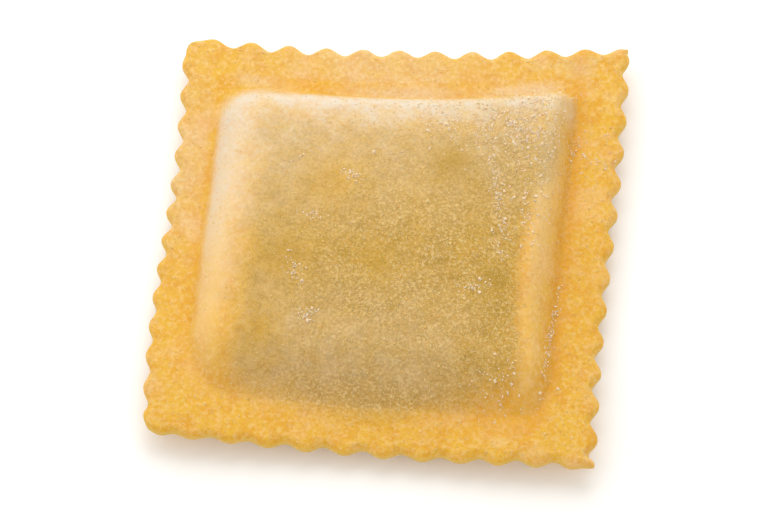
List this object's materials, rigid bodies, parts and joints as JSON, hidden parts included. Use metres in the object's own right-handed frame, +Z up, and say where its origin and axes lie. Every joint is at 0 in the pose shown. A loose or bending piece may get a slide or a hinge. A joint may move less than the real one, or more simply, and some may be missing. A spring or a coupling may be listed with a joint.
{
  "type": "ravioli",
  "caption": "Square piece of stuffed fresh egg pasta with a fluted flat rim round a domed pocket of filling, lying on its belly.",
  "frame": {"origin": "middle of the underside of the piece's overall box, on the surface it lies on", "axes": "+Z up, from the belly to the domed face; +Y from the front side of the cut to the back side; +X to the right when seen from the front"},
  "size_m": [0.049, 0.0494, 0.0091],
  "materials": {
    "egg_pasta": "rolled fresh egg pasta dough, golden yellow, paler and drier on the ridges of the pocket, tan where the filling shows through, dusted with semolina"
  },
  "bodies": {
    "root": {"ravioli": "egg_pasta"}
  },
  "joints": []
}
